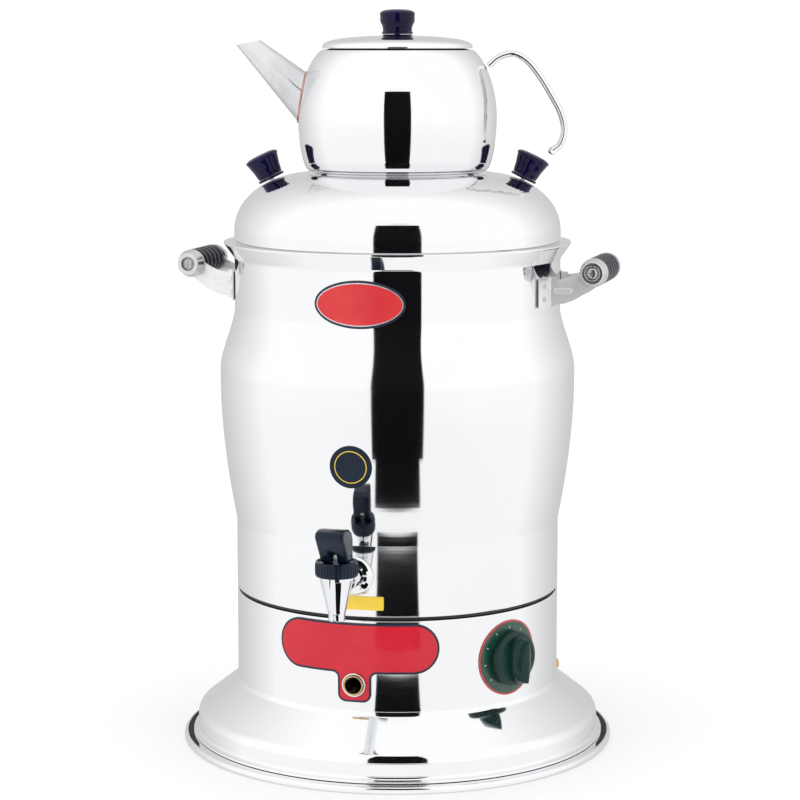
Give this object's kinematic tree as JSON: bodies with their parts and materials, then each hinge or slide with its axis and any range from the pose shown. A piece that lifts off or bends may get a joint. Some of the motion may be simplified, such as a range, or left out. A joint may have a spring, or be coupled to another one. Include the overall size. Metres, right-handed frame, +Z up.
{
  "type": "samovar",
  "caption": "Gas-fired samovar: polished steel tank on a burner base, tap with a tipping lever, dome lid and a teapot standing on it.",
  "frame": {"origin": "on the tank's axis, on the underside of the base tray", "axes": "+Z up, -Y to the front where the tap is, side handles on +X and -X"},
  "size_m": [0.3844, 0.4088, 0.6422],
  "materials": {
    "polished_steel": "stainless steel, mirror polished",
    "brushed_steel": "stainless steel, brushed",
    "chrome": "brass, chrome plated, bright",
    "zinc_steel": "steel, zinc plated",
    "brass": "turned brass",
    "copper_pipe": "copper tube",
    "cast_iron": "cast, matt black",
    "navy_plastic": "dark blue thermoset, glossy",
    "tap_plastic": "dark petrol blue thermoset, glossy",
    "knob_plastic": "dark green thermoset, satin",
    "silicone": "silicone rubber, matt",
    "black_gasket": "black rubber, matt",
    "red_plate": "red enamel with a darker border, bare",
    "blue_label": "dark blue enamel with a pale ring, bare",
    "yellow_label": "yellow film, bare",
    "dial_print": "printed plate, green ring with a red border"
  },
  "bodies": {
    "boiler": {"base_tray": "polished_steel", "base_skirt": "polished_steel", "tank_seat_ring": "black_gasket", "body_shell": "polished_steel", "tank_bottom": "brushed_steel", "front_plate": "red_plate", "oval_badge": "red_plate", "disc_label": "blue_label", "volume_label": "yellow_label", "knob_bezel": "dial_print", "lighting_port_sleeve": "brass", "lighting_port_ring": "chrome", "gas_nipple": "brass", "gas_inlet_pipe": "copper_pipe", "gas_valve_body": "brass", "gas_feed_pipe": "copper_pipe", "gas_jet": "brass", "burner_body": "cast_iron", "burner_cap": "cast_iron", "burner_bracket": "zinc_steel", "tap_flange": "chrome", "tap_seal": "silicone", "tap_lock_nut": "zinc_steel", "tap_body": "chrome", "tap_collar": "tap_plastic", "handle_grip_left": "navy_plastic", "handle_grip_right": "navy_plastic", "handle_arm_left_front": "brushed_steel", "handle_arm_left_rear": "brushed_steel", "handle_arm_right_front": "brushed_steel", "handle_arm_right_rear": "brushed_steel", "handle_cap_left_front": "brushed_steel", "handle_cap_left_rear": "brushed_steel", "handle_cap_right_front": "brushed_steel", "handle_cap_right_rear": "brushed_steel", "handle_screw_left_front": "zinc_steel", "handle_screw_left_rear": "zinc_steel", "handle_screw_right_front": "zinc_steel", "handle_screw_right_rear": "zinc_steel"},
    "lid": {"dome_lid": "polished_steel", "lid_knob_left": "navy_plastic", "lid_knob_right": "navy_plastic", "lid_knob_washer_left": "navy_plastic", "lid_knob_washer_right": "navy_plastic", "lid_knob_screw_left": "zinc_steel", "lid_knob_screw_right": "zinc_steel"},
    "teapot": {"teapot_body": "polished_steel", "teapot_spout": "polished_steel", "teapot_handle": "polished_steel"},
    "pot_lid": {"teapot_lid": "polished_steel", "teapot_knob": "navy_plastic"},
    "stem": {"tap_stem": "zinc_steel", "tap_seat_seal": "silicone", "tap_spring": "zinc_steel"},
    "lever": {"tap_lever": "tap_plastic", "tap_lever_pin": "zinc_steel"},
    "plug": {"gas_valve_plug": "brass"},
    "knob": {"gas_knob": "knob_plastic", "gas_valve_spindle": "zinc_steel"}
  },
  "joints": [
    {"name": "lid_lift", "type": "slide", "parent": "boiler", "child": "lid", "axis": [0, 0, 1], "range_m": [0, 0.06]},
    {"name": "teapot_lift", "type": "slide", "parent": "lid", "child": "teapot", "axis": [0, 0, 1], "range_m": [0, 0.05]},
    {"name": "pot_lid_lift", "type": "slide", "parent": "teapot", "child": "pot_lid", "axis": [0, 0, 1], "range_m": [0, 0.04]},
    {"name": "stem_lift", "type": "slide", "parent": "boiler", "child": "stem", "axis": [0, 0, 1], "range_m": [0, 0.0031], "stiffness_N_per_m": 600, "springref_m": -0.002, "deforming": ["tap_spring"]},
    {"name": "lever_tip", "type": "hinge", "parent": "stem", "child": "lever", "pos_m": [0, -0.1949, 0.2007], "axis": [1, 0, 0], "range_deg": [0, 40]},
    {"name": "gas_turn", "type": "hinge", "parent": "boiler", "child": "plug", "pos_m": [0.1225, -0.08108, 0.0951], "axis": [0.8339, -0.5519, 0], "range_deg": [0, 180]},
    {"name": "knob_push", "type": "slide", "parent": "plug", "child": "knob", "axis": [-0.8339, 0.5519, 0], "range_m": [0, 0.003], "stiffness_N_per_m": 500, "springref_m": -0.001}
  ],
  "couplings": [
    {"joint": "lever_tip", "follows": "stem_lift", "rad_per_m": 222}
  ]
}
